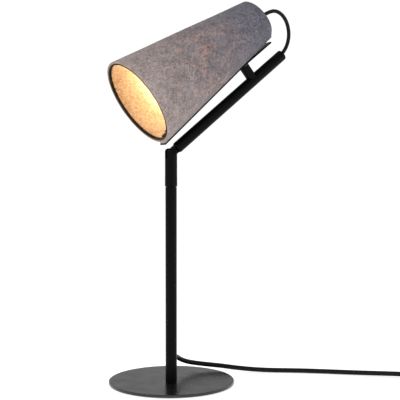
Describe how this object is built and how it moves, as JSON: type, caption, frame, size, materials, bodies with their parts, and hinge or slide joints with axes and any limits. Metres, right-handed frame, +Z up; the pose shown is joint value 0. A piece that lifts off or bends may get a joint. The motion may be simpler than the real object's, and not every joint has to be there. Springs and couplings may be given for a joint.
{
  "type": "desk lamp",
  "caption": "Desk lamp with a round flat base, a swivelling column, a tilting arm and a conical felt shade that turns on the arm.",
  "frame": {"origin": "on the desk, under the post, on the column's swivel axis", "axes": "+Z up, +X the way the arm rises away from the post, +Y across the arm"},
  "size_m": [0.4304, 0.3412, 0.4924],
  "materials": {
    "black_powder": "satin black powder coat",
    "base_grey": "satin black powder coat on a flat plate",
    "foam": "foam pad",
    "felt": "heathered grey pressed wool felt",
    "steel": "zinc plated",
    "black_plastic": "moulded matt",
    "cord_black": "matt flexible sheath",
    "core_insulation": "core insulation",
    "brass": "turned",
    "nylon": "natural nylon",
    "bulb_glass": "opal",
    "pins": "nickel plated"
  },
  "bodies": {
    "root": {"base_pad": "foam", "base_plate": "base_grey", "post_screw": "steel", "post_plug": "steel", "post_tube": "black_powder", "cord_gland": "cord_black", "post_wires": "core_insulation", "swivel_spigot": "steel", "swivel_spring_washer": "steel", "swivel_nut": "steel", "mains_cord": "cord_black", "switch_base": "black_plastic", "switch_cover": "black_plastic", "switch_screws": "steel", "switch_cord": "cord_black", "cord_coil": "cord_black", "cord_tie": "black_plastic", "plug_cord": "cord_black", "plug_body": "black_plastic", "plug_pins": "pins"},
    "rocker": {"switch_rocker": "black_plastic"},
    "column": {"thrust_washer": "black_plastic", "swivel_collar": "black_powder", "stop_screw": "black_powder", "column_tube": "black_powder", "fork_head": "black_powder", "pivot_screw": "black_powder", "pivot_nut": "black_powder"},
    "arm": {"friction_washers": "nylon", "arm_knuckle": "black_powder", "knuckle_wires": "core_insulation", "arm_tube": "black_powder", "arm_end_bush": "black_plastic", "arm_wires": "core_insulation", "stub_boss": "black_powder", "shade_swivel_washer": "nylon", "shade_spring_washer": "steel", "shade_swivel_screw": "steel", "loop_cable": "cord_black"},
    "shade": {"shade_strip": "black_powder", "swivel_bush": "brass", "inner_clamp": "black_powder", "clamp_screws": "black_powder", "clamp_nuts": "steel", "shade_felt": "felt", "mouth_ring": "black_plastic", "holder_bracket": "steel", "bracket_screws": "black_powder", "bracket_nuts": "steel", "holder_nipple": "brass", "nipple_nut": "steel", "holder_cap": "black_plastic", "holder_body": "black_plastic", "holder_socket": "brass", "bulb_cap": "steel", "bulb_globe": "bulb_glass"}
  },
  "joints": [
    {"name": "column_swivel", "type": "hinge", "parent": "root", "child": "column", "pos_m": [0, 0, 0.2515], "axis": [0, 0, 1], "range_deg": [-155, 155]},
    {"name": "arm_tilt", "type": "hinge", "parent": "column", "child": "arm", "pos_m": [0, 0, 0.2935], "axis": [0, -1, 0], "range_deg": [-40, 60], "deforming": ["knuckle_wires"]},
    {"name": "shade_swivel", "type": "hinge", "parent": "arm", "child": "shade", "pos_m": [0.10458, 0, 0.40927], "axis": [-0.6331, 0, 0.7741], "range_deg": [-60, 60], "deforming": ["loop_cable"]},
    {"name": "switch_rock", "type": "hinge", "parent": "root", "child": "rocker", "pos_m": [0.30357, -0.12854, 0.0134], "axis": [0.8083, 0.5888, 0], "range_deg": [0, 16]}
  ]
}
